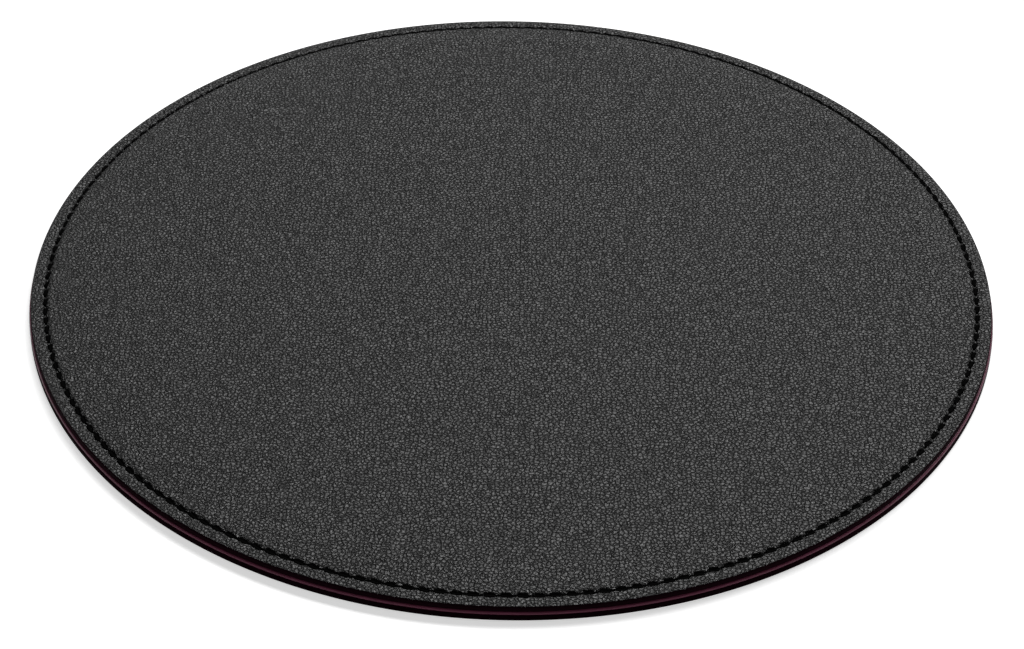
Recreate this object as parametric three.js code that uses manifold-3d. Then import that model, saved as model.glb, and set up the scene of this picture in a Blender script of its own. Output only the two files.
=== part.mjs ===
// A round mouse pad, stitched round its rim: a grained leather sheet over a thin filler, on a suede base.
// Millimetres, +Z up. The origin is the centre of the underside, on the desk.
import * as THREE from "three";
import { mergeGeometries, mergeVertices } from "three/addons/utils/BufferGeometryUtils.js";
import Module from "manifold-3d";

// The whole pad
const PAD_DIAMETER = 220;      // across the base

// Sheets and films, from the desk up
const BASE_THICKNESS = 1.5;    // suede base
const GLUE_THICKNESS = 0.1;    // one film of contact glue
const CORE_THICKNESS = 0.4;    // felt filler under the middle of the leather
const LEATHER_THICKNESS = 1.8; // grained leather

// The rim, from the edge inwards
const LEATHER_INSET = 0.4;     // how far the leather's edge stands back from the base's
const RIM_WIDTH = 3.3;         // from the leather's edge to the line of stitches
const SEAM_FLAT = 1.4;         // level leather between the stitches and its shoulder
const SHOULDER_WIDTH = 5;      // slope from the level leather up to the padded middle
const EDGE_ROUND = 0.4;        // rounded upper corner of the leather
const BASE_CHAMFER = 0.1;      // broken lower corner of the base

// The painted bead on the ledge of the base, against the leather's edge
const BEAD_HEIGHT = 0.6;
const BEAD_LEDGE = 0.05;       // strip of the base left bare outside it
const BEAD_ROOT = 0.6;         // how deep it is keyed under the leather
const BEAD_CLEARANCE = 0.05;

// Stitches
const STITCH_LENGTH = 3.37;    // from needle hole to needle hole, before it is fitted to the round
const THREAD_WIDTH = 1;
const THREAD_HEIGHT = 0.5;     // the thread lies flattened in its groove
const DIP_HEIGHT = 0.8;        // height of the thread where it turns back inside the sheets
const DIP_REACH = 0.6;         // along the seam, from a needle hole's centre to where the thread surfaces
const LOCK_GAP = 0.3;          // between the two threads where they turn back
const SLOT_CLEARANCE = 0.1;    // round the thread in a needle hole
const GROOVE_CLEARANCE = 0.3;  // beside the thread in its groove
const GROOVE_FLOOR_GAP = 0.1;  // between the thread and the floor of its groove

// Filler and glue
const CORE_MARGIN = 0.6;       // between the filler's edge and the shoulder that covers it
const GLUE_MARGIN = 0.6;       // bare strip from a film of glue to the filler's edge
const RIM_GLUE_WIDTH = 0.7;    // film midway between the stitches' groove and the bead

// Facets of the turned pieces
const RIM_SEGMENTS = 60;
const HIDDEN_SEGMENTS = 36;
const ROUND_STEPS = 3;
const BEAD_STEPS = 4;
const MERGE_TOLERANCE = 1e-4;

// Finishes
const GRAINED_LEATHER = { color: 0x38383a, roughness: 0.55 };
const SUEDE = { color: 0x1b1b1c, roughness: 0.95 };
const FELT = { color: 0x4a4a4c, roughness: 0.95 };
const CONTACT_GLUE = { color: 0xc9b98a, roughness: 0.5 };
const EDGE_PAINT = { color: 0x4a1020, roughness: 0.3 };
const SEWING_THREAD = { color: 0x0c0c0d, roughness: 0.6 };

// Radii that follow
const padRadius = PAD_DIAMETER / 2;
const leatherRadius = padRadius - LEATHER_INSET;
const beadRadius = padRadius - BEAD_LEDGE;
const seamRadius = leatherRadius - RIM_WIDTH;
const rootRadius = leatherRadius - BEAD_ROOT;
const shoulderFoot = seamRadius - SEAM_FLAT;
const fieldRadius = shoulderFoot - SHOULDER_WIDTH;
const coreRadius = fieldRadius - CORE_MARGIN;
const glueRadius = coreRadius - GLUE_MARGIN;
const grooveHalf = THREAD_WIDTH / 2 + GROOVE_CLEARANCE;
const rimGlueMiddle = (seamRadius + grooveHalf + rootRadius) / 2;
const rimGlueInner = rimGlueMiddle - RIM_GLUE_WIDTH / 2;
const rimGlueOuter = rimGlueMiddle + RIM_GLUE_WIDTH / 2;

// Heights that follow
const leatherBottom = BASE_THICKNESS + GLUE_THICKNESS;
const rimTop = leatherBottom + LEATHER_THICKNESS;
const coreBottom = BASE_THICKNESS + GLUE_THICKNESS;
const coreTop = coreBottom + CORE_THICKNESS;
const fieldBottom = coreTop + GLUE_THICKNESS;
const fieldTop = fieldBottom + LEATHER_THICKNESS;
const jointHeight = BASE_THICKNESS + GLUE_THICKNESS / 2;
const beadTop = BASE_THICKNESS + BEAD_HEIGHT;
const grooveDepth = THREAD_HEIGHT + GROOVE_FLOOR_GAP;

// Stitches that follow
const stitchCount = Math.round((2 * Math.PI * seamRadius) / STITCH_LENGTH);
const stitchAngle = (2 * Math.PI) / stitchCount;
const dipAngle = DIP_REACH / seamRadius;

const wasm = await Module();
wasm.setup();

// A point of a turned profile: its radius, then its height.
const point = (radius, height) => new THREE.Vector2(radius, height);

// Turns a profile, given anticlockwise with the radius to the right, round the pad's axis.
function turned(profile, segments) {
  const geometry = new THREE.LatheGeometry(profile, segments);
  geometry.rotateX(Math.PI / 2);
  return geometry;
}

// A flat disc between two heights, inside the pad.
function disc(radius, bottom, top) {
  const profile = [point(0, bottom), point(radius, bottom), point(radius, top), point(0, top)];
  return turned(profile, HIDDEN_SEGMENTS);
}

// A flat ring between two radii and two heights, inside the pad.
function ring(inner, outer, bottom, top) {
  const profile = [
    point(inner, bottom),
    point(outer, bottom),
    point(outer, top),
    point(inner, top),
    point(inner, bottom),
  ];
  return turned(profile, HIDDEN_SEGMENTS);
}

// A solid for cutting, from a closed geometry.
function solid(geometry) {
  const bare = geometry.clone();
  bare.deleteAttribute("normal");
  bare.deleteAttribute("uv");
  const merged = mergeVertices(bare, MERGE_TOLERANCE);
  const corners = merged.index.array;
  const triangles = [];
  for (let i = 0; i < corners.length; i += 3) {
    const [a, b, c] = corners.subarray(i, i + 3);
    if (a !== b && b !== c && c !== a) {
      triangles.push(a, b, c);
    }
  }
  const vertProperties = new Float32Array(merged.attributes.position.array);
  const triVerts = new Uint32Array(triangles);
  return new wasm.Manifold(new wasm.Mesh({ numProp: 3, vertProperties, triVerts }));
}

// Cuts one geometry out of another.
function cut(body, tool) {
  const mesh = solid(body).subtract(solid(tool)).getMesh();
  const geometry = new THREE.BufferGeometry();
  geometry.setAttribute("position", new THREE.BufferAttribute(mesh.vertProperties, 3));
  geometry.setIndex(new THREE.BufferAttribute(mesh.triVerts, 1));
  geometry.computeVertexNormals();
  return geometry;
}

// One needle hole for every stitch, as an upright slot along the seam, through the whole pad.
function needleHoles() {
  const length = 2 * (DIP_REACH + SLOT_CLEARANCE);
  const width = THREAD_WIDTH + 2 * SLOT_CLEARANCE;
  const height = 2 * fieldTop;
  const slots = [];
  for (let i = 0; i < stitchCount; i++) {
    const slot = new THREE.BoxGeometry(width, length, height);
    slot.translate(seamRadius, 0, 0);
    slot.rotateZ(i * stitchAngle);
    slots.push(slot);
  }
  return mergeGeometries(slots);
}

// The leather: padded middle, shoulder, seam groove, rounded corner, and a key for the bead at its edge.
function leather() {
  const rounding = [];
  for (let i = 0; i <= ROUND_STEPS; i++) {
    const turn = (i / ROUND_STEPS) * (Math.PI / 2);
    const radius = leatherRadius - EDGE_ROUND * (1 - Math.cos(turn));
    rounding.push(point(radius, rimTop - EDGE_ROUND * (1 - Math.sin(turn))));
  }
  const profile = [
    point(0, fieldBottom),
    point(fieldRadius, fieldBottom),
    point(shoulderFoot, leatherBottom),
    point(rootRadius, leatherBottom),
    point(rootRadius, beadTop),
    point(leatherRadius, beadTop),
    ...rounding,
    point(seamRadius + grooveHalf, rimTop),
    point(seamRadius + grooveHalf, rimTop - grooveDepth),
    point(seamRadius - grooveHalf, rimTop - grooveDepth),
    point(seamRadius - grooveHalf, rimTop),
    point(shoulderFoot, rimTop),
    point(fieldRadius, fieldTop),
    point(0, fieldTop),
  ];
  return cut(turned(profile, RIM_SEGMENTS), needleHoles());
}

// The base: flat underside with the lower seam's groove, and a flat top that reaches out past the leather.
function base() {
  const profile = [
    point(0, 0),
    point(seamRadius - grooveHalf, 0),
    point(seamRadius - grooveHalf, grooveDepth),
    point(seamRadius + grooveHalf, grooveDepth),
    point(seamRadius + grooveHalf, 0),
    point(padRadius - BASE_CHAMFER, 0),
    point(padRadius, BASE_CHAMFER),
    point(padRadius, BASE_THICKNESS),
    point(0, BASE_THICKNESS),
  ];
  return cut(turned(profile, RIM_SEGMENTS), needleHoles());
}

// The bead: a root keyed between the sheets, and a quarter-ellipse face from the base up to the leather.
function edgeBead() {
  const inner = rootRadius + BEAD_CLEARANCE;
  const profile = [point(inner, BASE_THICKNESS)];
  for (let i = 0; i <= BEAD_STEPS; i++) {
    const turn = (i / BEAD_STEPS) * (Math.PI / 2);
    const radius = leatherRadius + (beadRadius - leatherRadius) * Math.cos(turn);
    profile.push(point(radius, BASE_THICKNESS + BEAD_HEIGHT * Math.sin(turn)));
  }
  profile.push(point(inner, beadTop), point(inner, BASE_THICKNESS));
  return turned(profile, RIM_SEGMENTS);
}

// One unbroken thread round the seam. It lies on its sheet from hole to hole, and dips at each hole.
// Both its ends are in the first hole, LOCK_GAP apart. The section is a triangle with its ridge on the
// outside of the pad: side is 1 for the thread on top and -1 for the one underneath.
function thread(face, turnBack, side) {
  const endShift = LOCK_GAP / 2 / seamRadius;
  const stations = [{ angle: endShift, dip: true }];
  for (let i = 0; i < stitchCount; i++) {
    const hole = (i + 1) * stitchAngle;
    const shift = i + 1 === stitchCount ? endShift : 0;
    stations.push({ angle: i * stitchAngle + dipAngle, dip: false });
    stations.push({ angle: hole - dipAngle, dip: false });
    stations.push({ angle: hole - shift, dip: true });
  }
  const positions = [];
  for (const { angle, dip } of stations) {
    const ridge = dip ? turnBack + side * DIP_HEIGHT : face;
    const floor = dip ? turnBack : face - side * THREAD_HEIGHT;
    const corners = [
      [seamRadius - THREAD_WIDTH / 2, floor],
      [seamRadius + THREAD_WIDTH / 2, floor],
      [seamRadius, ridge],
    ];
    for (const [radius, height] of corners) {
      positions.push(radius * Math.cos(angle), radius * Math.sin(angle), height);
    }
  }
  const sides = 3;
  const last = (stations.length - 1) * sides;
  const index = [0, 1, 2, last, last + 2, last + 1];
  for (let ringStart = 0; ringStart < last; ringStart += sides) {
    for (let j = 0; j < sides; j++) {
      const a = ringStart + j;
      const b = ringStart + ((j + 1) % sides);
      index.push(a, a + sides, b, b, a + sides, b + sides);
    }
  }
  if (side < 0) {
    index.reverse();
  }
  const geometry = new THREE.BufferGeometry();
  geometry.setAttribute("position", new THREE.Float32BufferAttribute(positions, 3));
  geometry.setIndex(index);
  geometry.computeVertexNormals();
  return geometry;
}

const pad = new THREE.Group();

// Adds one named piece with its own finish.
function add(name, geometry, finish) {
  const mesh = new THREE.Mesh(geometry, new THREE.MeshStandardMaterial({ ...finish, metalness: 0 }));
  mesh.name = name;
  pad.add(mesh);
}

add("base_sheet", base(), SUEDE);
add("lower_glue", disc(glueRadius, BASE_THICKNESS, coreBottom), CONTACT_GLUE);
add("core_pad", disc(coreRadius, coreBottom, coreTop), FELT);
add("upper_glue", disc(glueRadius, coreTop, fieldBottom), CONTACT_GLUE);
add("rim_glue", ring(rimGlueInner, rimGlueOuter, BASE_THICKNESS, leatherBottom), CONTACT_GLUE);
add("top_leather", leather(), GRAINED_LEATHER);
add("edge_bead", edgeBead(), EDGE_PAINT);
add("needle_thread", thread(rimTop, jointHeight + LOCK_GAP / 2, 1), SEWING_THREAD);
add("bobbin_thread", thread(GROOVE_FLOOR_GAP / 2, jointHeight - LOCK_GAP / 2, -1), SEWING_THREAD);

export default pad;
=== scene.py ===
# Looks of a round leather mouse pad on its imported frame. Metres, +Z up, origin under the pad's centre.
import math

import bpy
import numpy as np
from mathutils import Matrix, Vector


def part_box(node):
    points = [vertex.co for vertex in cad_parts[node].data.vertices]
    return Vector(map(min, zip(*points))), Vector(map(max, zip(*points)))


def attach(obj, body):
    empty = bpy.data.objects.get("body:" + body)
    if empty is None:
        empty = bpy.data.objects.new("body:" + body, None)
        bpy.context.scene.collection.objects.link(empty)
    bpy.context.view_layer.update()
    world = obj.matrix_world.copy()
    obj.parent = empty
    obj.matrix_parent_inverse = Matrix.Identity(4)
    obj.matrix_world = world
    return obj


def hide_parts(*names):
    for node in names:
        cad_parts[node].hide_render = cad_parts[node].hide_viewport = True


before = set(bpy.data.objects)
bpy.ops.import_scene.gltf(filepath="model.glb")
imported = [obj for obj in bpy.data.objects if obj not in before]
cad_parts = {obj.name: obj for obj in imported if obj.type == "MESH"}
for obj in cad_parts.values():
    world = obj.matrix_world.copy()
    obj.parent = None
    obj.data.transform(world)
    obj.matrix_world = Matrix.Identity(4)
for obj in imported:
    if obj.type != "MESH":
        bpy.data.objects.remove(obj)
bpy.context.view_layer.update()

# Shapes are worked out in millimetres and scaled once, where their points go into a mesh.
MM = 0.001


def reach(node):
    """Outer radius, lowest height and highest height of a CAD node, in millimetres."""
    low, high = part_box(node)
    return high[0] / MM, low[2] / MM, high[2] / MM


# Sizes that the frame gives
LEATHER_RADIUS, LEATHER_BOTTOM, FIELD_TOP = reach("top_leather")
BASE_RADIUS, BASE_TOP = reach("base_sheet")[::2]
BEAD_RADIUS, BEAD_BOTTOM, BEAD_TOP = reach("edge_bead")
CORE_RADIUS, CORE_BOTTOM, CORE_TOP = reach("core_pad")
THREAD_EDGE, NEEDLE_TURN, RIM_TOP = reach("needle_thread")
BOBBIN_FACE, BOBBIN_TURN = reach("bobbin_thread")[1:]
FIELD_BOTTOM = reach("upper_glue")[2]

# The sewing thread: its width and height in the solids, its half sizes when pulled tight, and its place
STITCHES = 198
THREAD_WIDTH = 1.0
THREAD_HEIGHT = 0.5
LAID_HALF_WIDTH = 0.4
LAID_HALF_HEIGHT = 0.24
HOLE_HALF_WIDTH = 0.2
HOLE_HALF_HEIGHT = 0.16
THREAD_SINK = 0.34
SEAM_RADIUS = THREAD_EDGE - THREAD_WIDTH / 2

# How far stitches slant across the seam, and how much they differ: in slant and place by share, and in depth
SLANT = 0.09
SLANT_SPREAD = 0.35
SHIFT_SPREAD = 0.02
SINK_SPREAD = 0.03

# The groove that each stitch lies in. Over a needle hole it closes to a slit, which takes less painted shade.
GROOVE_HALF = 0.47
GROOVE_DEPTH = 0.55
SLIT_HALF = 0.28
SLIT_DEPTH = 0.42
SLIT_SHADE = 0.25
LIP_SHARE = 0.25

# Shares of a stitch, from its needle hole, at which the slit starts to widen and the groove is fully open
WIDENS_AT = 0.13
OPEN_AT = 0.27

# Shares of a stitch, from its needle hole, at which the thread starts to rise and lies flat
RISES_AT = 0.04
FLAT_AT = 0.2

# Share of a stitch that keeps an angle at a needle hole on the stitch that starts there
ROUNDING = 1e-6

# The leather beside the seam
SEAM_FLAT = 1.4
SHOULDER_WIDTH = 5.0
VALLEY_DEPTH = 0.08
VALLEY_WIDTH = 0.9
PUFF_HEIGHT = 0.3
PUFF_START = 0.42
PUFF_END = 0.78
RIM_CROWN = 0.06

# The edge of the pad: its rounded corners, and the root and the thinning of the painted bead
EDGE_ROUND = 0.4
BASE_ROUND = 0.1
BEAD_ROOT = 0.6
BEAD_ROOT_GAP = 0.1
BEAD_THINNING = 0.08

rng = np.random.default_rng(20)


def smooth(low, high, x):
    """Eased step: 0 below low, 1 above high, and a cubic S between them."""
    t = np.clip((x - low) / (high - low), 0, 1)
    return t * t * (3 - 2 * t)


def ring_angles(columns):
    """Evenly spaced angles round the pad, as one row."""
    return np.linspace(0, 2 * math.pi, columns, endpoint=False)[None, :]


def seam_angles():
    """Angles that fit the stitches, as one row: each needle hole, the middle of each stitch, and angles close
    together where the groove opens at the ends of a stitch."""
    half = np.array([0.09, WIDENS_AT, 0.165, 0.2, OPEN_AT, 0.38])
    shares = np.concatenate([[0], half, [0.5], 1 - half[::-1]])
    return (np.arange(STITCHES)[:, None] + shares).reshape(1, -1) * 2 * math.pi / STITCHES


def column(values):
    """A list of numbers as one column, to be spread over the angles."""
    return np.array(values, float)[:, None]


# Each stitch differs a little from the next, as a machine's do.
stitch_slant = SLANT * (1 + SLANT_SPREAD * rng.standard_normal(STITCHES))
stitch_sink = SINK_SPREAD * rng.standard_normal(STITCHES)
stitch_shift = SHIFT_SPREAD * rng.standard_normal(STITCHES)


def stitch_at(angle):
    """Where an angle lies on its stitch: its share of a stitch from the nearest needle hole, how far slant
    carries the thread across the seam line there, as one sine wave to a stitch, and how much deeper than
    others that stitch is pulled, as a squared sine."""
    turn = angle * STITCHES / (2 * math.pi) + ROUNDING
    stitch = np.floor(turn).astype(int) % STITCHES
    along = turn % 1
    from_hole = np.minimum(along, 1 - along) + stitch_shift[stitch] * np.sin(math.pi * along) ** 2
    across = stitch_slant[stitch] * np.sin(2 * math.pi * (along - 0.5))
    sink = stitch_sink[stitch] * np.sin(math.pi * along) ** 2
    return from_hole, across, sink


def opening(from_hole):
    """How open the groove is: 0 round a needle hole, where the sheet closes over the thread, and 1 along a
    stitch."""
    return smooth(WIDENS_AT, OPEN_AT, from_hole)


def groove_half(open_share):
    """Half the width of the thread's groove: a slit over the needle hole, and wide along the stitch."""
    return SLIT_HALF + (GROOVE_HALF - SLIT_HALF) * open_share


def groove_radii(angle):
    """Radii of the rows that follow the groove, out from its inner lip to its outer lip."""
    from_hole, across, _ = stitch_at(angle)
    side = [0.4, 1 - LIP_SHARE, 1, 1 + LIP_SHARE, 1.5]
    shares = column([-share for share in reversed(side)] + [0] + side)
    return SEAM_RADIUS + across + groove_half(opening(from_hole)) * shares


def groove_share(radius, angle):
    """Where a point lies in the thread's groove: 0 on the face, 1 on the groove's floor, and eased over the
    lips."""
    from_hole, across, _ = stitch_at(angle)
    from_middle = np.abs(radius - SEAM_RADIUS - across) / groove_half(opening(from_hole))
    return 1 - smooth(1 - LIP_SHARE, 1 + LIP_SHARE, from_middle)


def groove_sink(radius, angle):
    """Depth of the seam below its sheet: a soft bell-shaped valley along the seam, and in it a flat-bottomed
    groove with rounded lips that closes to a slit over each needle hole."""
    from_hole, _, sink = stitch_at(angle)
    valley = VALLEY_DEPTH * np.exp(-(((radius - SEAM_RADIUS) / VALLEY_WIDTH) ** 2))
    depth = SLIT_DEPTH + (GROOVE_DEPTH - SLIT_DEPTH) * opening(from_hole) + sink
    return valley + depth * groove_share(radius, angle)


def face_height(radius, angle):
    """Height of the leather's face: level over the filler, an eased shoulder down towards the seam, a short
    puffed step down to the stitches, and a low crown between the seam and the edge, with the groove taken
    out of it."""
    foot = SEAM_RADIUS - SEAM_FLAT
    beside_thread = SEAM_RADIUS + stitch_at(angle)[1] - radius
    above_shoulder = smooth(foot - SHOULDER_WIDTH, foot, radius)
    puff = PUFF_HEIGHT * above_shoulder * smooth(PUFF_START, PUFF_END, beside_thread)
    shoulder = (FIELD_TOP - RIM_TOP) * (1 - above_shoulder) + puff
    rim_middle = (SEAM_RADIUS + LEATHER_RADIUS - EDGE_ROUND) / 2
    rim_half = rim_middle - SEAM_RADIUS
    crown = RIM_CROWN * np.clip(1 - ((radius - rim_middle) / rim_half) ** 2, 0, 1)
    return RIM_TOP + shoulder + crown - groove_sink(radius, angle)


def quarter_round(radius, height, size, start, end, steps):
    """Rows of a rounded corner: an arc about a centre one radius inside, from one slope in degrees to
    another."""
    slope = np.radians(column(np.linspace(start, end, steps)))
    return radius + size * (np.cos(slope) - 1), height + size * (np.sin(slope) - 1)


def rows(blocks, angle):
    """Joins blocks of radii and heights, each spread over the angles, into points one row after another."""
    wide = np.ones_like(angle)
    radius = np.concatenate([r * wide for r, _ in blocks])
    height = np.concatenate([z * wide for _, z in blocks])
    return np.stack([radius * np.cos(angle), radius * np.sin(angle), height], -1)


def make_piece(name, points, materials, closed_rows=False, finish=None, uv=None, shade=None):
    """Puts a grid of points into a mesh. Columns always go once round. Rows either close on themselves, as on
    a bead or a thread, or end in a pole at the pad's axis above and below. finish gives each row's material,
    uv the place of each corner along a thread, and shade the painted shade of each point in the seam."""
    count, columns = points.shape[:2]
    row_pairs = count if closed_rows else count - 1
    i, j = np.meshgrid(np.arange(row_pairs), np.arange(columns), indexing="ij")
    below, right = (i + 1) % count, (j + 1) % columns
    quads = np.stack([i * columns + j, below * columns + j, below * columns + right, i * columns + right], -1)
    corners, totals = quads.ravel(), np.full(quads.size // 4, 4)
    kinds = np.repeat(np.zeros(row_pairs, int) if finish is None else np.array(finish)[:row_pairs], columns)
    vertices = points.reshape(-1, 3)
    if not closed_rows:
        turn = np.arange(columns)
        onward = (turn + 1) % columns
        last = (count - 1) * columns
        top, bottom = count * columns, count * columns + 1
        caps = np.concatenate([
            np.stack([np.full(columns, top), turn, onward], -1),
            np.stack([last + turn, np.full(columns, bottom), last + onward], -1),
        ])
        corners = np.concatenate([corners, caps.ravel()])
        totals = np.concatenate([totals, np.full(len(caps), 3)])
        kinds = np.concatenate([kinds, np.repeat([kinds[0], kinds[-1]], columns)])
        poles = [[0, 0, points[0, 0, 2]], [0, 0, points[-1, 0, 2]]]
        vertices = np.concatenate([vertices, poles])
    mesh = bpy.data.meshes.new(name)
    mesh.vertices.add(len(vertices))
    mesh.vertices.foreach_set("co", (vertices * MM).ravel())
    mesh.loops.add(len(corners))
    mesh.loops.foreach_set("vertex_index", corners)
    mesh.polygons.add(len(totals))
    mesh.polygons.foreach_set("loop_start", np.cumsum(totals) - totals)
    mesh.polygons.foreach_set("loop_total", totals)
    for finish_material in materials:
        mesh.materials.append(finish_material)
    mesh.polygons.foreach_set("material_index", kinds)
    mesh.update(calc_edges=True)
    mesh.validate()
    mesh.shade_smooth()
    if shade is not None:
        layer = mesh.attributes.new("seam_shade", "FLOAT", "POINT")
        pole_shade = np.zeros(len(vertices) - shade.size)
        layer.data.foreach_set("value", np.concatenate([shade.ravel(), pole_shade]))
    if uv is not None:
        layer = mesh.uv_layers.new(name="along_thread")
        layer.data.foreach_set("uv", uv(i, j).ravel())
    piece = bpy.data.objects.new(name, mesh)
    bpy.context.scene.collection.objects.link(piece)
    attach(piece, "root")
    return piece


def leather_sheet(grain, cut_edge):
    """The leather: its face, rounded corner, cut edge, the step that takes the bead, and its underside, which
    rises over the filler."""
    angle = seam_angles()
    wide = np.ones_like(angle)
    from_hole, across, _ = stitch_at(angle)
    foot = SEAM_RADIUS - SEAM_FLAT
    level_rows, beside_seam = [50, 95], np.array([1.1, 1.9, 2.5])
    inner = column([*level_rows, *np.linspace(foot - SHOULDER_WIDTH, foot, 6)])
    puff_top = SEAM_RADIUS + across - PUFF_END
    outer = column([*(SEAM_RADIUS + beside_seam), LEATHER_RADIUS - EDGE_ROUND])
    face = np.concatenate([inner * wide, puff_top, groove_radii(angle), outer * wide])
    corner = quarter_round(LEATHER_RADIUS, RIM_TOP, EDGE_ROUND, start=72, end=0, steps=5)
    root = LEATHER_RADIUS - BEAD_ROOT
    points = rows([
        (face, face_height(face, angle)),
        corner,
        (column([LEATHER_RADIUS, root, root, foot, foot - SHOULDER_WIDTH, level_rows[0]]),
         column([BEAD_TOP, BEAD_TOP, LEATHER_BOTTOM, LEATHER_BOTTOM, FIELD_BOTTOM, FIELD_BOTTOM])),
    ], angle)
    grained_rows = len(face) + 1
    finish = [0] * grained_rows + [1] * (len(points) - grained_rows)
    # Painted shade: the seam's groove is darkened through the seam_shade attribute, less over each needle
    # hole.
    shade = np.zeros(points.shape[:2])
    in_stitch = SLIT_SHADE + (1 - SLIT_SHADE) * opening(from_hole)
    shade[:len(face)] = groove_share(face, angle) * in_stitch
    return make_piece("leather_sheet", points, [grain, cut_edge], finish=finish, shade=shade)


def suede_sheet(nap, cut_edge):
    """The base: its upper face, mostly hidden, its cut edge with both corners just broken, and a flat
    underside with the lower seam's groove pressed into it."""
    angle = seam_angles()
    wide = np.ones_like(angle)
    edge_radius = BASE_RADIUS - BASE_ROUND * column([1, 0.3, 0, 0, 0.3, 1])
    edge_height = BASE_ROUND * column([0, 0.3, 1, 1, 0.3, 0])
    edge_height[:3] = BASE_TOP - edge_height[:3]
    hidden_row, level_rows, beside_seam = column([60]), column([80, 40]), column([2.4, 1.7, 1.1])
    outer = SEAM_RADIUS + beside_seam
    inner = np.concatenate([SEAM_RADIUS - beside_seam[::-1], level_rows])
    under = np.concatenate([outer * wide, groove_radii(angle)[::-1], inner * wide])
    points = rows([
        (hidden_row, column([BASE_TOP])),
        (edge_radius, edge_height),
        (under, groove_sink(under, angle)),
    ], angle)
    edge_rows = len(edge_radius)
    finish = [1] * edge_rows + [0] * (len(points) - edge_rows)
    return make_piece("suede_sheet", points, [nap, cut_edge], finish=finish)


def painted_bead(paint):
    """The bead: a root between the sheets, and a quarter-ellipse face from the leather's edge down to the
    base. Hand-laid paint swells and thins by three sine waves round the edge, so its reach wanders by a few
    hundredths."""
    angle = ring_angles(720)
    lumps = sum(np.sin(k * angle + phase) for k, phase in ((7, 0.4), (17, 2.1), (41, 4.0))) / 3
    slope = np.radians(column(np.linspace(90, 0, 10)))
    swell = 1 - BEAD_THINNING * (1 + lumps) / 2
    reach_out = LEATHER_RADIUS + (BEAD_RADIUS - LEATHER_RADIUS) * swell * np.cos(slope)
    height = BEAD_BOTTOM + (BEAD_TOP - BEAD_BOTTOM) * np.sin(slope)
    root = LEATHER_RADIUS - BEAD_ROOT + BEAD_ROOT_GAP
    points = rows([
        (reach_out, height),
        (column([root, root]), column([BEAD_BOTTOM, BEAD_TOP])),
    ], angle)
    return make_piece("painted_bead", points, [paint], closed_rows=True)


def sewn_thread(name, face, turn, side, thread):
    """One thread: an oval section carried round the seam, wide and flat along each stitch, drawn thin into
    each needle hole, with three plies twisted round it. side is 1 on the leather and -1 under the base."""
    rings, sides, plies, ply_depth, twist_length = 20, 12, 3, 0.08, 2.2
    angle = ring_angles(STITCHES * rings)
    from_hole, across, sink = stitch_at(angle)
    lift = smooth(RISES_AT, FLAT_AT, from_hole)
    section = np.linspace(0, 2 * math.pi, sides, endpoint=False)[:, None]
    twist = 2 * math.pi * angle * SEAM_RADIUS / twist_length
    ply = 1 + ply_depth * np.cos(plies * (section - twist))
    half_width = (HOLE_HALF_WIDTH + (LAID_HALF_WIDTH - HOLE_HALF_WIDTH) * lift) * ply
    half_height = (HOLE_HALF_HEIGHT + (LAID_HALF_HEIGHT - HOLE_HALF_HEIGHT) * lift) * ply
    dip = abs(face - turn) - THREAD_HEIGHT
    middle = face - side * (THREAD_SINK + sink + dip * (1 - lift))
    radius = SEAM_RADIUS + across + half_width * np.cos(section)
    height = middle - half_height * np.sin(section)

    def along_thread(i, j):
        u = np.stack([j, j, j + 1, j + 1], -1) / rings
        v = np.stack([i, i + 1, i + 1, i], -1) / sides
        return np.stack([u, v], -1)

    return make_piece(name, rows([(radius, height)], angle), [thread], closed_rows=True, uv=along_thread)


def felt_disc(felt):
    """The filler: a thin flat disc whose edge is a half circle."""
    angle = ring_angles(360)
    half = (CORE_TOP - CORE_BOTTOM) / 2
    slope = np.radians(column(np.linspace(90, -90, 7)))
    level_rows = column([30, 70])
    points = rows([
        (level_rows, column([CORE_TOP, CORE_TOP])),
        (CORE_RADIUS + half * (np.cos(slope) - 1), CORE_BOTTOM + half * (np.sin(slope) + 1)),
        (level_rows[::-1], column([CORE_BOTTOM, CORE_BOTTOM])),
    ], angle)
    return make_piece("felt_disc", points, [felt])


def linear(hex_colour):
    """Turns an sRGB hex colour into the linear colour that shaders take."""
    parts = np.array([int(hex_colour[k:k + 2], 16) for k in (1, 3, 5)]) / 255
    bright = np.where(parts <= 0.04045, parts / 12.92, ((parts + 0.055) / 1.055) ** 2.4)
    return (*bright.tolist(), 1.0)


def add(tree, kind, inputs, **settings):
    """Adds a node. settings are its own choices. inputs go by name or number, each as a value or as another
    node's socket."""
    node = tree.nodes.new(kind)
    for name, value in settings.items():
        setattr(node, name, value)
    for key, value in inputs.items():
        if isinstance(value, bpy.types.NodeSocket):
            tree.links.new(value, node.inputs[key])
        else:
            node.inputs[key].default_value = value
    return node


def new_material(name):
    """An empty node material, its tree, and the surface socket of its output."""
    made = bpy.data.materials.new(name)
    made.use_nodes = True
    tree = made.node_tree
    tree.nodes.clear()
    output = add(tree, "ShaderNodeOutputMaterial", {})
    return made, tree, output.inputs["Surface"]


def per_mm(size):
    """Texture scale, on coordinates in metres, at which one cell is that many millimetres."""
    return 1 / (size * MM)


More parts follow.
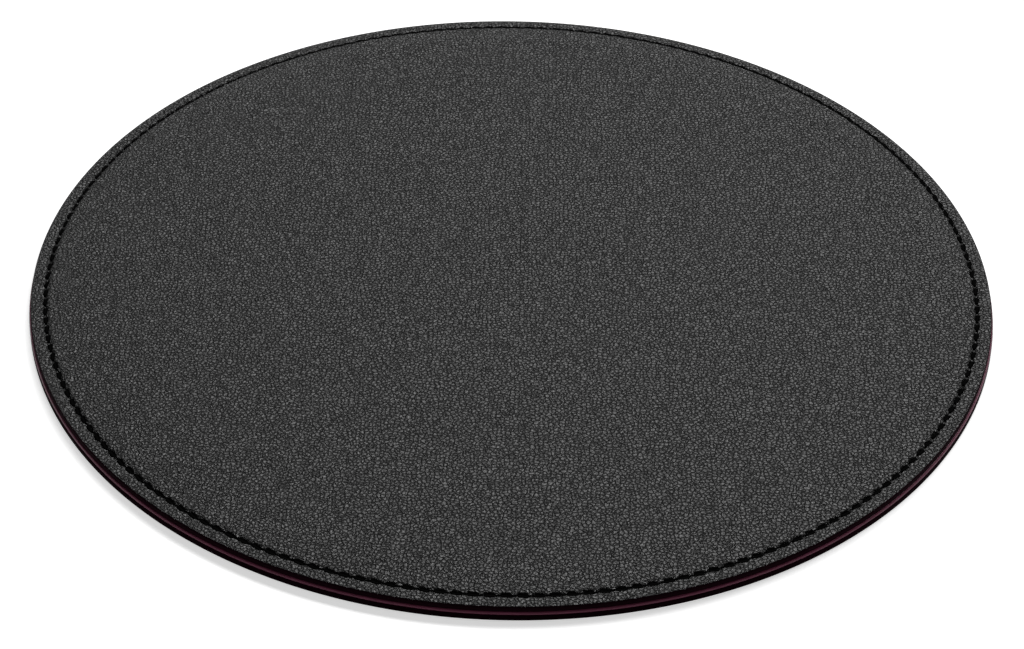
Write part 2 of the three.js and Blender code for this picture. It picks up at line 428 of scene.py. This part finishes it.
def grained_leather():
    """Coated leather embossed with a fine pebble grain: raised pebbles about a millimetre across that catch
    the light, creases between them darkened in colour and sheen by painted shade, and a finer wrinkle over
    both. Its grooves are darkened by painted shade from the seam."""
    made, tree, surface = new_material("pebble_grained_leather")
    pebble_size, bend_size, bend_reach, wrinkle_size, relief_depth = 0.92, 0.7, 1.2, 0.48, 0.14
    crease_share, crease_power, crease_sheen_shade, wrinkle_share = 0.24, 1.5, 0.6, 1.8
    place = add(tree, "ShaderNodeTexCoord", {}).outputs["Object"]
    bend = add(tree, "ShaderNodeTexNoise", {
        "Vector": place, "Scale": per_mm(bend_size), "Detail": 3.0,
    }).outputs["Color"]
    centred = add(tree, "ShaderNodeVectorMath", {0: bend, 1: (0.5, 0.5, 0.5)}, operation="SUBTRACT")
    pushed = add(tree, "ShaderNodeVectorMath", {
        0: centred.outputs[0], "Scale": bend_reach * MM,
    }, operation="SCALE")
    warped = add(tree, "ShaderNodeVectorMath", {0: place, 1: pushed.outputs[0]}, operation="ADD")
    edge = add(tree, "ShaderNodeTexVoronoi", {
        "Vector": warped.outputs[0], "Scale": per_mm(pebble_size),
    }, voronoi_dimensions="2D", feature="DISTANCE_TO_EDGE").outputs["Distance"]
    slope = add(tree, "ShaderNodeMapRange", {
        "Value": edge, "From Max": crease_share, "To Min": 1.0, "To Max": 0.0,
    }).outputs[0]
    crease = add(tree, "ShaderNodeMath", {0: slope, 1: crease_power}, operation="POWER").outputs[0]
    wrinkle = add(tree, "ShaderNodeTexNoise", {
        "Vector": place, "Scale": per_mm(wrinkle_size), "Detail": 0.0,
    }).outputs[0]
    ripple = add(tree, "ShaderNodeMath", {0: wrinkle, 1: wrinkle_share}, operation="MULTIPLY").outputs[0]
    relief = add(tree, "ShaderNodeMath", {0: ripple, 1: crease}, operation="SUBTRACT").outputs[0]
    bump = add(tree, "ShaderNodeBump", {"Height": relief, "Strength": 1.0, "Distance": relief_depth * MM})
    # Painted shade: the creases are darkened towards near black in the colour.
    grain = add(tree, "ShaderNodeMix", {
        "Factor": crease, "A": linear("#1c1c1c"), "B": linear("#030303"),
    }, data_type="RGBA").outputs["Result"]
    # Painted shade in the seam's grooves: the seam_shade attribute darkens the colour towards near black.
    shade = add(tree, "ShaderNodeAttribute", {}, attribute_name="seam_shade").outputs["Fac"]
    colour = add(tree, "ShaderNodeMix", {
        "Factor": shade, "A": grain, "B": linear("#020202"),
    }, data_type="RGBA")
    rough = add(tree, "ShaderNodeMapRange", {"Value": wrinkle, "To Min": 0.38, "To Max": 0.5})
    # Painted shade on the sheen: creases and the seam's grooves lose most of their gloss, and dull holds this
    # painted shade.
    hidden = add(tree, "ShaderNodeMath", {0: crease, 1: crease_sheen_shade}, operation="MULTIPLY").outputs[0]
    dull = add(tree, "ShaderNodeMath", {0: shade, 1: hidden}, operation="MAXIMUM").outputs[0]
    gloss = add(tree, "ShaderNodeMapRange", {"Value": dull, "To Min": 0.46, "To Max": 0.02})
    shader = add(tree, "ShaderNodeBsdfPrincipled", {
        "Base Color": colour.outputs["Result"], "Roughness": rough.outputs[0], "Normal": bump.outputs[0],
        "IOR": 1.5, "Specular IOR Level": gloss.outputs[0],
    })
    tree.links.new(shader.outputs[0], surface)
    return made


def dyed_edge():
    """Cut edge of the sheets, dyed burgundy black and rubbed smooth: dull, with the fibres just showing. They
    are drawn coarser than real ones, which would be too fine to show."""
    made, tree, surface = new_material("dyed_cut_edge")
    fibre_size, fibre_depth = 0.3, 0.04
    place = add(tree, "ShaderNodeTexCoord", {}).outputs["Object"]
    fibres = add(tree, "ShaderNodeTexNoise", {
        "Vector": place, "Scale": per_mm(fibre_size), "Detail": 3.0,
    }).outputs[0]
    colour = add(tree, "ShaderNodeMix", {
        "Factor": fibres, "A": linear("#100307"), "B": linear("#19040d"),
    }, data_type="RGBA")
    bump = add(tree, "ShaderNodeBump", {"Height": fibres, "Strength": 0.5, "Distance": fibre_depth * MM})
    shader = add(tree, "ShaderNodeBsdfPrincipled", {
        "Base Color": colour.outputs["Result"], "Roughness": 0.85, "Specular IOR Level": 0.02,
        "Normal": bump.outputs[0],
    })
    tree.links.new(shader.outputs[0], surface)
    return made


def suede():
    """Microfibre suede: a matt black nap of short fibres, cloudy where it is brushed different ways. The nap
    is drawn coarser than a real one, which would be too fine to show."""
    made, tree, surface = new_material("microfibre_suede")
    cloud_size, nap_size, nap_depth = 14, 0.5, 0.12
    place = add(tree, "ShaderNodeTexCoord", {}).outputs["Object"]
    brushed = add(tree, "ShaderNodeTexNoise", {
        "Vector": place, "Scale": per_mm(cloud_size), "Detail": 3.0,
    }).outputs[0]
    nap = add(tree, "ShaderNodeTexNoise", {
        "Vector": place, "Scale": per_mm(nap_size), "Detail": 4.0,
    }).outputs[0]
    mixed = add(tree, "ShaderNodeMath", {0: brushed, 1: nap}, operation="MULTIPLY").outputs[0]
    shade = add(tree, "ShaderNodeMapRange", {"Value": mixed, "From Min": 0.1, "From Max": 0.45}).outputs[0]
    colour = add(tree, "ShaderNodeMix", {
        "Factor": shade, "A": linear("#121213"), "B": linear("#2e2e30"),
    }, data_type="RGBA")
    bump = add(tree, "ShaderNodeBump", {"Height": nap, "Strength": 0.8, "Distance": nap_depth * MM})
    shader = add(tree, "ShaderNodeBsdfPrincipled", {
        "Base Color": colour.outputs["Result"], "Roughness": 0.95, "Specular IOR Level": 0.2,
        "Sheen Weight": 0.3, "Sheen Roughness": 0.5, "Normal": bump.outputs[0],
    })
    tree.links.new(shader.outputs[0], surface)
    return made


def edge_paint():
    """Burgundy edge paint: a thick satin coat, laid by hand, with a faint orange peel."""
    made, tree, surface = new_material("burgundy_edge_paint")
    peel_size, peel_depth, cloud_size = 1.2, 0.03, 6
    place = add(tree, "ShaderNodeTexCoord", {}).outputs["Object"]
    peel = add(tree, "ShaderNodeTexNoise", {
        "Vector": place, "Scale": per_mm(peel_size), "Detail": 1.0,
    }).outputs[0]
    pigment = add(tree, "ShaderNodeTexNoise", {
        "Vector": place, "Scale": per_mm(cloud_size), "Detail": 2.0,
    }).outputs[0]
    colour = add(tree, "ShaderNodeMix", {
        "Factor": pigment, "A": linear("#60253c"), "B": linear("#6e2b47"),
    }, data_type="RGBA")
    rough = add(tree, "ShaderNodeMapRange", {"Value": pigment, "To Min": 0.42, "To Max": 0.52})
    bump = add(tree, "ShaderNodeBump", {"Height": peel, "Strength": 0.4, "Distance": peel_depth * MM})
    shader = add(tree, "ShaderNodeBsdfPrincipled", {
        "Base Color": colour.outputs["Result"], "Roughness": rough.outputs[0], "Specular IOR Level": 0.26,
        "Normal": bump.outputs[0],
    })
    tree.links.new(shader.outputs[0], surface)
    return made


def bonded_thread():
    """Bonded polyester sewing thread: dull black, with fine filaments that run slantwise along the twist.
    They are drawn coarser than real ones, which would be too fine to show."""
    made, tree, surface = new_material("bonded_polyester_thread")
    filament_length, filament_width, filament_slant, filament_depth = 0.56, 0.05, 0.6, 0.03
    stitch_length = 2 * math.pi * SEAM_RADIUS / STITCHES
    girth = math.pi * (LAID_HALF_WIDTH + LAID_HALF_HEIGHT)
    along = add(tree, "ShaderNodeTexCoord", {}).outputs["UV"]
    stretch = add(tree, "ShaderNodeMapping", {
        "Vector": along, "Rotation": (0, 0, filament_slant),
        "Scale": (stitch_length / filament_length, girth / filament_width, 1),
    })
    filaments = add(tree, "ShaderNodeTexNoise", {
        "Vector": stretch.outputs[0], "Scale": 1.0, "Detail": 2.0,
    }).outputs[0]
    colour = add(tree, "ShaderNodeMix", {
        "Factor": filaments, "A": linear("#020202"), "B": linear("#040404"),
    }, data_type="RGBA")
    bump = add(tree, "ShaderNodeBump", {
        "Height": filaments, "Strength": 0.6, "Distance": filament_depth * MM,
    })
    shader = add(tree, "ShaderNodeBsdfPrincipled", {
        "Base Color": colour.outputs["Result"], "Roughness": 0.85, "Specular IOR Level": 0.02,
        "Normal": bump.outputs[0],
    })
    tree.links.new(shader.outputs[0], surface)
    return made


def pressed_felt():
    """Pressed felt: grey, matt, with tangled fibres, drawn coarser than real ones so that they show."""
    made, tree, surface = new_material("pressed_felt")
    fibre_size, fibre_depth = 0.8, 0.15
    place = add(tree, "ShaderNodeTexCoord", {}).outputs["Object"]
    fibres = add(tree, "ShaderNodeTexNoise", {
        "Vector": place, "Scale": per_mm(fibre_size), "Detail": 4.0,
    }).outputs[0]
    colour = add(tree, "ShaderNodeMix", {
        "Factor": fibres, "A": linear("#3a3a3c"), "B": linear("#5c5c5e"),
    }, data_type="RGBA")
    bump = add(tree, "ShaderNodeBump", {"Height": fibres, "Strength": 0.7, "Distance": fibre_depth * MM})
    shader = add(tree, "ShaderNodeBsdfPrincipled", {
        "Base Color": colour.outputs["Result"], "Roughness": 0.95, "Normal": bump.outputs[0],
    })
    tree.links.new(shader.outputs[0], surface)
    return made


def contact_glue():
    """Dried contact glue: an amber rubbery film, brushed on unevenly, in strokes that differ in colour."""
    made, tree, surface = new_material("dried_contact_glue")
    stroke_size = 4
    place = add(tree, "ShaderNodeTexCoord", {}).outputs["Object"]
    strokes = add(tree, "ShaderNodeTexNoise", {
        "Vector": place, "Scale": per_mm(stroke_size), "Detail": 3.0,
    }).outputs[0]
    colour = add(tree, "ShaderNodeMix", {
        "Factor": strokes, "A": linear("#a8935a"), "B": linear("#d6c89c"),
    }, data_type="RGBA")
    rough = add(tree, "ShaderNodeMapRange", {"Value": strokes, "To Min": 0.35, "To Max": 0.6})
    shader = add(tree, "ShaderNodeBsdfPrincipled", {
        "Base Color": colour.outputs["Result"], "Roughness": rough.outputs[0],
    })
    tree.links.new(shader.outputs[0], surface)
    return made


def white_floor():
    """Seamless white paper: it shows and mirrors as white, and still takes the pad's shadow."""
    made, tree, surface = new_material("seamless_paper")
    paper = add(tree, "ShaderNodeBsdfDiffuse", {"Color": (0.86, 0.86, 0.86, 1)})
    glow = add(tree, "ShaderNodeEmission", {"Color": (1, 1, 1, 1), "Strength": 0.56})
    both = add(tree, "ShaderNodeAddShader", {0: paper.outputs[0], 1: glow.outputs[0]})
    ray = add(tree, "ShaderNodeLightPath", {}).outputs
    seen = add(tree, "ShaderNodeMath", {
        0: ray["Is Camera Ray"], 1: ray["Is Glossy Ray"],
    }, operation="MAXIMUM")
    shown = add(tree, "ShaderNodeMath", {
        0: seen.outputs[0], 1: ray["Is Transmission Ray"],
    }, operation="MAXIMUM")
    pick = add(tree, "ShaderNodeMixShader", {0: shown.outputs[0], 1: paper.outputs[0], 2: both.outputs[0]})
    tree.links.new(pick.outputs[0], surface)
    return made


def build_pad():
    cut_edge, thread = dyed_edge(), bonded_thread()
    leather = leather_sheet(grained_leather(), cut_edge)
    base = suede_sheet(suede(), cut_edge)
    bead = painted_bead(edge_paint())
    needle = sewn_thread("needle_stitches", RIM_TOP, NEEDLE_TURN, 1, thread)
    bobbin = sewn_thread("bobbin_stitches", BOBBIN_FACE, BOBBIN_TURN, -1, thread)
    filler = felt_disc(pressed_felt())
    stands_for = (
        (leather, "top_leather", "grained_leather"),
        (base, "base_sheet", "suede_base"),
        (bead, "edge_bead", "edge_paint"),
        (needle, "needle_thread", "sewing_thread"),
        (bobbin, "bobbin_thread", "sewing_thread"),
        (filler, "core_pad", "felt_filler"),
    )
    for piece, node, slot in stands_for:
        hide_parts(node)
    glue = contact_glue()
    for node in ("upper_glue", "lower_glue", "rim_glue"):
        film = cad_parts[node]
        film.data.materials.clear()
        film.data.materials.append(glue)


def build_stage():
    """White floor, soft lamps and a dim even world."""
    half = 3.0
    corners = [(-half, -half, 0), (half, -half, 0), (half, half, 0), (-half, half, 0)]
    mesh = bpy.data.meshes.new("floor")
    mesh.from_pydata(corners, [], [(0, 1, 2, 3)])
    mesh.materials.append(white_floor())
    floor = bpy.data.objects.new("floor", mesh)
    bpy.context.scene.collection.objects.link(floor)

    def softbox(name, place, width, height, watts):
        lamp = bpy.data.lights.new(name, "AREA")
        lamp.shape = "RECTANGLE"
        lamp.size, lamp.size_y, lamp.energy = width, height, watts
        box = bpy.data.objects.new(name, lamp)
        box.location = place
        box.rotation_euler = (-Vector(place)).to_track_quat("-Z", "Y").to_euler()
        bpy.context.scene.collection.objects.link(box)

    softbox("overhead_softbox", place=(0.0, 0.1, 1.4), width=1.4, height=1.4, watts=1.5)
    softbox("back_softbox", place=(0.3, 0.95, 1.15), width=1.6, height=0.35, watts=28)

    world = bpy.data.worlds.new("studio")
    world.use_nodes = True
    sky = world.node_tree.nodes["Background"].inputs
    sky["Color"].default_value = (1, 1, 1, 1)
    sky["Strength"].default_value = 0.05
    bpy.context.scene.world = world


# The photograph's view, found from the rim and the seam seen as circles. The distance is in radii of the rim.
VIEW_RADIUS = 109.4
VIEW_DISTANCE = 6.5059
VIEW_ELEVATION = math.radians(37.232)
VIEW_ROLL = math.radians(-1.025)
VIEW_FOCAL_PIXELS = 3100
VIEW_CENTRE_PIXELS = (511.90, 278.24)
IMAGE_WIDTH, IMAGE_HEIGHT = 1024, 649


def build_camera():
    """Camera on the pad's -Y side, looking down at the middle of the rim, then rolled and turned so that this
    middle falls on its pixel of the photograph."""
    data = bpy.data.cameras.new("photo_camera")
    data.sensor_width = 36
    data.lens = VIEW_FOCAL_PIXELS / IMAGE_WIDTH * data.sensor_width
    data.clip_start, data.clip_end = 0.05, 20
    distance = VIEW_RADIUS * MM * VIEW_DISTANCE
    ahead = np.array([0, math.cos(VIEW_ELEVATION), -math.sin(VIEW_ELEVATION)])
    right = np.array([1.0, 0, 0])
    up = np.cross(right, ahead)
    cos_roll, sin_roll = math.cos(VIEW_ROLL), math.sin(VIEW_ROLL)
    right, up = cos_roll * right - sin_roll * up, sin_roll * right + cos_roll * up
    yaw = math.atan((VIEW_CENTRE_PIXELS[0] - IMAGE_WIDTH / 2) / VIEW_FOCAL_PIXELS)
    pitch = math.atan((VIEW_CENTRE_PIXELS[1] - IMAGE_HEIGHT / 2) / VIEW_FOCAL_PIXELS)
    right, forward = (math.cos(yaw) * right + math.sin(yaw) * ahead,
                      math.cos(yaw) * ahead - math.sin(yaw) * right)
    up, forward = (math.cos(pitch) * up - math.sin(pitch) * forward,
                   math.sin(pitch) * up + math.cos(pitch) * forward)
    place = np.array([0, 0, RIM_TOP * MM]) - distance * ahead
    camera = bpy.data.objects.new("photo_camera", data)
    camera.matrix_world = Matrix((
        (right[0], up[0], -forward[0], place[0]),
        (right[1], up[1], -forward[1], place[1]),
        (right[2], up[2], -forward[2], place[2]),
        (0, 0, 0, 1),
    ))
    bpy.context.scene.collection.objects.link(camera)
    bpy.context.scene.camera = camera


build_camera()
build_pad()
build_stage()
bpy.context.scene.view_settings.view_transform = "Standard"
